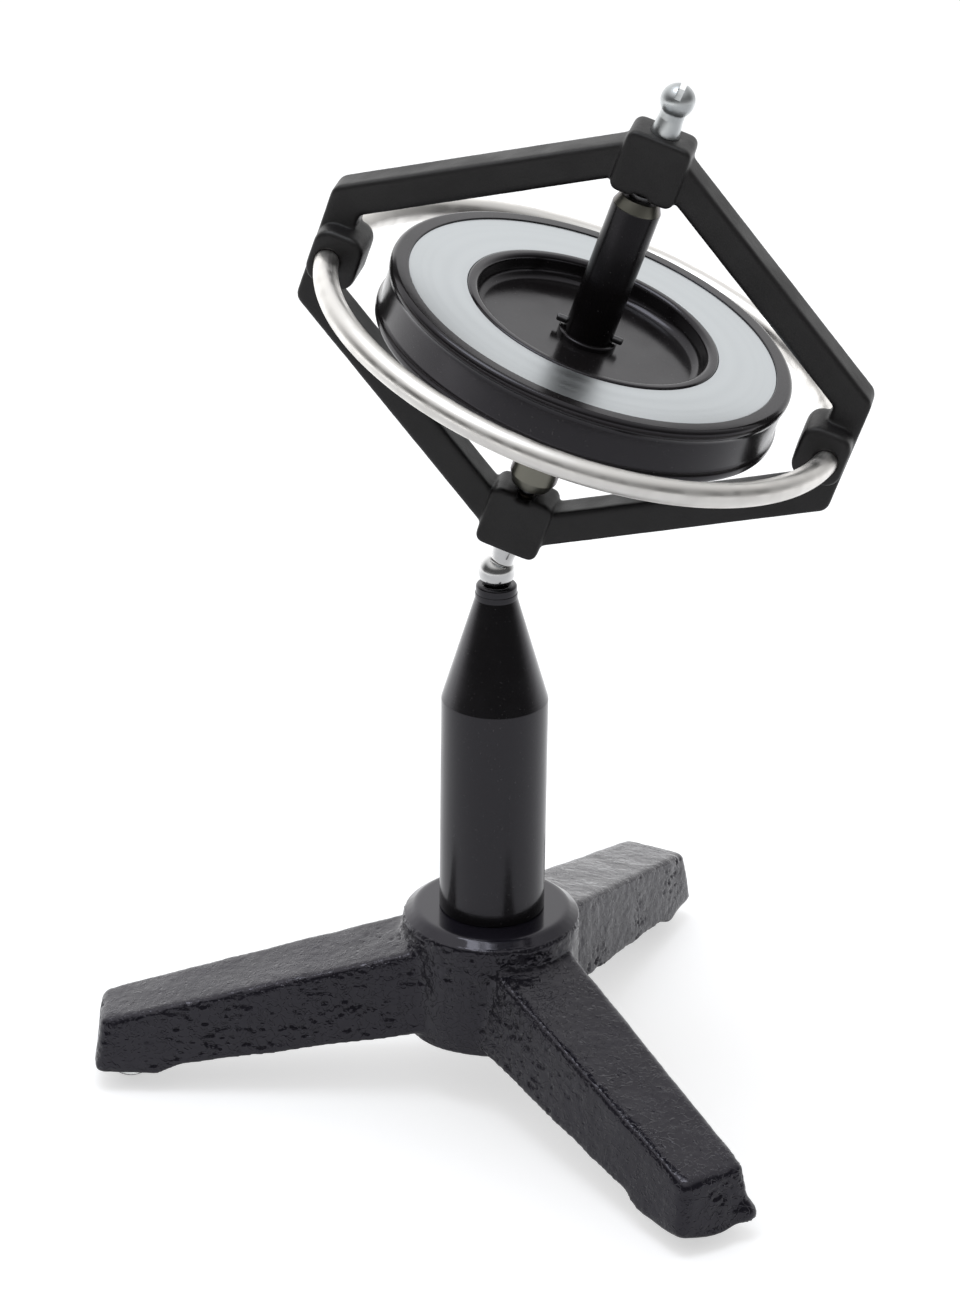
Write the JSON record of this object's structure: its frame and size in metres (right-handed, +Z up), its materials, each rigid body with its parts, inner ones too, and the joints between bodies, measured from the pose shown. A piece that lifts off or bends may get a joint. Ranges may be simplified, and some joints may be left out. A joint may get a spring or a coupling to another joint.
{
  "type": "demonstration gyroscope on stand",
  "caption": "Metal gyroscope in a hexagonal frame with a guard ring, leaning by a ball stud on the cup of a column that stands on a cast tripod base.",
  "frame": {"origin": "column axis at floor level, where the foot pads stand", "axes": "+Z up along the column; +X to the viewer's right and -Y towards the viewer, in the view that shows the frame nearly face on"},
  "size_m": [0.1281, 0.1241, 0.1808],
  "materials": {
    "cast_base": "gloss black paint over a rough sand casting",
    "column": "smooth gloss black",
    "cup": "satin black",
    "steel": "ground bright",
    "bright_stud": "polished",
    "frame": "satin black",
    "guard_ring": "polished",
    "wheel": "gloss black",
    "face_ring": "fine turned, pale silver",
    "bush": "turned",
    "foot_pad": "clear soft dome"
  },
  "bodies": {
    "stand": {"base_casting": "cast_base", "column": "column", "column_screw": "steel", "screw_washer": "steel", "pivot_cup": "cup", "foot_pad_front": "foot_pad", "foot_pad_left": "foot_pad", "foot_pad_rear": "foot_pad"},
    "pivot_ball": {"lower_ball": "bright_stud"},
    "pivot_stud": {"lower_stud": "bright_stud"},
    "frame": {"frame_casting": "frame", "upper_stud": "bright_stud", "ring_front_half": "guard_ring", "ring_rear_half": "guard_ring", "bearing_upper": "bush", "bearing_lower": "bush"},
    "wheel": {"flywheel": "wheel", "spindle": "steel", "face_ring_upper": "face_ring", "face_ring_lower": "face_ring", "sleeve_upper": "wheel", "sleeve_lower": "wheel", "collar_upper": "wheel", "collar_lower": "wheel", "cross_pin_upper": "steel", "cross_pin_lower": "steel"}
  },
  "joints": [
    {"name": "precession", "type": "hinge", "parent": "stand", "child": "pivot_ball", "pos_m": [0, 0, 0.09434], "axis": [0, 0, 1], "continuous": true},
    {"name": "nutation", "type": "hinge", "parent": "pivot_ball", "child": "pivot_stud", "pos_m": [0, 0, 0.09434], "axis": [0.3256, 0.9455, 0], "range_deg": [-18.8, 66.2]},
    {"name": "frame_turn", "type": "hinge", "parent": "pivot_stud", "child": "frame", "pos_m": [0, 0, 0.09434], "axis": [0.3047, -0.1049, 0.9466], "continuous": true},
    {"name": "flywheel_spin", "type": "hinge", "parent": "frame", "child": "wheel", "pos_m": [0.01347, -0.00464, 0.13618], "axis": [0.3047, -0.1049, 0.9466], "continuous": true}
  ]
}
